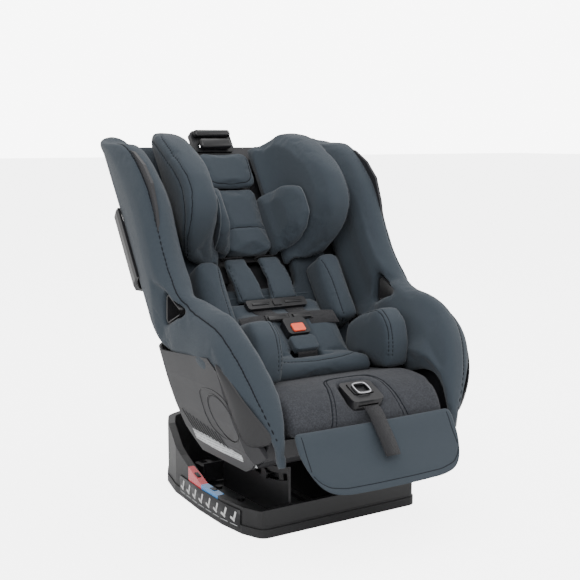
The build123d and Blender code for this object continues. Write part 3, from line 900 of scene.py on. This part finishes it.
def makeBaseCard():
    first, last, low, high = base["card"]
    rings = []
    for y in (first, -110, -30, last):
        rings.append([onBase(y, low, -1.6), onBase(y, high, -2.4), onBase(y, high, 0.4),
                      onBase(y, low, 0.4)])
    finish("baseCard", loft(rings), blackTrim, "base", levels=0)
    middle = (low + high) / 2
    for index in range(base["figures"]):
        y = first + 15 + index * 26
        lean = facing(y) @ Matrix.Rotation(0.35, 4, "Z")
        block("cardSeat%d" % index, onBase(y - 2, middle + 3, 0.5), (4, 15, 0.5), labelWhite,
              "base", bevel=0, matrix=lean)
        block("cardCushion%d" % index, onBase(y + 4, middle - 4, 0.5), (12, 4, 0.5), labelWhite,
              "base", bevel=0, matrix=lean)
        block("cardRule%d" % index, onBase(y + 1, low + 3, 0.5), (20, 1.2, 0.4), labelGrey, "base",
              bevel=0, matrix=facing(y))


def makeIndicators():
    for name, y, z, tilt in (("slotRed", -9, 55.3, 0.288), ("slotBlue", -65, 46.2, 0.03)):
        block(name, Vector((-161, y, z)), (7, 14, 1.4), blackTrim, "base", bevel=0.3,
              matrix=Matrix.Rotation(tilt, 4, "X"))


makeBaseCard()
makeIndicators()
print("base details ready")


# details on the side panels
panel = {
    "vents": 11,
    "oval": (-204, 205, 48, 34, 37),     # y, z, long radius, short radius, turn
    "frame": [(-145, 240), (-168, 246), (-192, 248), (-220, 242), (-240, 226), (-252, 204),
              (-250, 186), (-232, 172), (-205, 163), (-180, 164), (-158, 174), (-148, 196),
              (-144, 220)],
    # the moulded nose between a panel's front edge and the arm fabric: y, z then x, y, z
    "nose": [((-212, 282), (240, -210, 297)), ((-224, 250), (231, -240, 277)),
             ((-238, 215), (221, -261, 247)), ((-252, 183), (199, -280, 212)),
             ((-262, 154), (168, -285, 174))],
}


def ovalLine(grow):
    y, z, wide, tall, turn = panel["oval"]
    turn = math.radians(turn)
    line = []
    for step in range(48):
        angle = math.tau * step / 48
        a, b = (wide + grow) * math.cos(angle), (tall + grow) * math.sin(angle)
        line.append((y + a * math.cos(turn) - b * math.sin(turn),
                     z + a * math.sin(turn) + b * math.cos(turn)))
    return line


def makePanelLines():
    for side, name in ((1, "right"), (-1, "left")):
        tree = treeOf(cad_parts["side_panel_" + name])
        x = 250 * side
        ring = [Vector((x * 0.92, y, z)) for y, z in panel["frame"]]
        line = ontoSurface(tree, smoothLine(ring, closed=True), 0.1)
        tube("panelFrame" + name.title(), line, 0.8, blackTrim, "seat", closed=True)
        ring = [Vector((x * 0.92, y, z)) for y, z in ovalLine(-5)]
        line = ontoSurface(tree, ring, 0.1)
        tube("panelOval" + name.title(), line, 0.7, blackTrim, "seat", closed=True)
        for index in range(panel["vents"]):
            y, drop = -62 - index * 11, 2 * index
            rib = [Vector((x * 0.86, y, 190 - drop)), Vector((x * 0.86, y - 22, 160 - drop))]
            line = ontoSurface(tree, smoothLine(rib), 0.1)
            tube("vent%s%d" % (name.title(), index), line, 1.1, blackGrain, "seat")


def labelMaterial():
    # pale strip with rows of fine grey rules
    material = mould("labelStrip", (0.50, 0.51, 0.52), rough=0.5, bump=0.02, rub=1.05)
    tree = material.node_tree
    shader = tree.nodes["Principled BSDF"]
    place = node(tree, "ShaderNodeTexCoord").outputs["Object"]
    rows = node(tree, "ShaderNodeTexWave", {"Vector": place, "Scale": 75.0}, bands_direction="Z")
    words = node(tree, "ShaderNodeTexNoise", {"Vector": place, "Scale": 260.0})
    both = node(tree, "ShaderNodeMath", {0: rows.outputs["Fac"], 1: words.outputs["Fac"]},
                operation="MULTIPLY")
    ink = node(tree, "ShaderNodeMapRange", {"Value": both.outputs[0], "From Min": 0.40,
                                            "From Max": 0.46})
    mix = node(tree, "ShaderNodeMix", {"Factor": ink.outputs["Result"],
                                       "A": (0.55, 0.56, 0.57, 1), "B": (0.22, 0.23, 0.24, 1)},
               data_type="RGBA")
    tree.links.new(mix.outputs["Result"], shader.inputs["Base Color"])
    return material


def makeStrip():
    tree = treeOf(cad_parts["side_panel_left"])
    top = smoothLine([Vector(p) for p in ((-214, -79, 158), (-214, -130, 156), (-206, -190, 153),
                                          (-196, -250, 150))])
    low = smoothLine([Vector(p) for p in ((-206, -93, 147), (-206, -135, 144), (-198, -190, 139),
                                          (-186, -247, 134))])
    above, below = ontoSurface(tree, top, 0.4), low
    rings = []
    for high, point in zip(above, below):
        high = high / mm
        rings.append([high, point, point + Vector((1, 0, -0.6)), high + Vector((1, 0, -0.6))])
    finish("labelStrip", loft(rings), labelMaterial(), "seat", levels=0)


def makeNose():
    for side, name in ((1, "right"), (-1, "left")):
        tree = treeOf(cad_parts["side_panel_" + name])
        rings = []
        for (y, z), (farX, farY, farZ) in panel["nose"]:
            near = ontoSurface(tree, [Vector((250 * side, y, z))], -1)[0] / mm
            far = Vector((farX * side, farY, farZ))
            middle = near.lerp(far, 0.5) + Vector((3 * side, -3, 0))
            inward = Vector((-4 * side, 3, 0))
            rings.append([near, middle, far, far + inward, middle + inward, near + inward])
        finish("panelNose" + name.title(), loft(rings), charcoal, "seat", levels=2)


makePanelLines()
makeStrip()
makeNose()
print("side details ready")


# handle, buckle and adjuster details
def makeSmallParts():
    block("handleGrip", onBack(0, 391, 45), (64, 20, 12), blackTrim, "handle", bevel=5,
          matrix=backTurn)
    block("handleCap", onBack(0, 414, 44), (76, 14, 12), blackTrim, "handle", bevel=5,
          matrix=backTurn)
    bail = [onSlope(x, v, 6.5) for x, v in ((-13, -6), (-13, 10), (-9, 15), (9, 15), (13, 10),
                                            (13, -6), (9, -10), (-9, -10))]
    tube("adjusterBail", [p * mm for p in smoothLine(bail, closed=True)], 1.6, steelPlate,
         "adjuster_press", closed=True)
    for side in (1, -1):
        block("clipRib%d" % side, onChest(33 * side, 0, 11), (34, 5, 2), blackTrim, "clip",
              bevel=0.8, matrix=bellyTurn)
        block("tongueTop%d" % side, onBelly(25 * side, -25, 5.5), (36, 9, 3), blackTrim, "seat",
              bevel=1.2, matrix=bellyTurn)


makeSmallParts()
print("small parts ready")


# CAD pieces keep their shape and take a moulded finish
looks = {
    "base_shell": blackGrain, "base_feet": rubber, "indicator_red": redGloss,
    # the rails, rail screws and index rack take the black moulding as painted shade for the shadow
    # inside the base
    "indicator_blue": blueGloss, "rails": blackGrain, "rail_screws": blackGrain,
    "index_rack": blackGrain, "anchor_strap": webbing, "anchor_connectors": blackGrain,
    "seat_shell": charcoal, "side_panel_left": charcoal, "side_panel_right": charcoal,
    "keels": blackGrain, "guide_pins": blackGrain, "steel_frame": blackGrain,
    "guide_rods": steelPlate, "buckle_body": blackTrim, "buckle_tongues": blackTrim,
    "adjuster_housing": blackTrim, "belt_guides": blackTrim, "impact_pods": blackTrim,
    "tether_strap": webbing, "tether_hook": steelPlate, "lever_pin": steelPlate,
    "headrest_shell": blackGrain, "harness_loops": webbing, "headrest_handle": blackTrim,
    "buckle_button": coral, "chest_clip": blackTrim, "chest_clip_button": blackTrim,
    "adjuster_button": blackTrim, "recline_lever": blackTrim, "recline_pawl": steelPlate,
    "cup_holder_left": charcoal, "cup_holder_right": charcoal, "crotch_strap": webbing,
}
for name, material in looks.items():
    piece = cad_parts[name]
    piece.data.materials.clear()
    piece.data.materials.append(material)
print("moulded finishes ready")
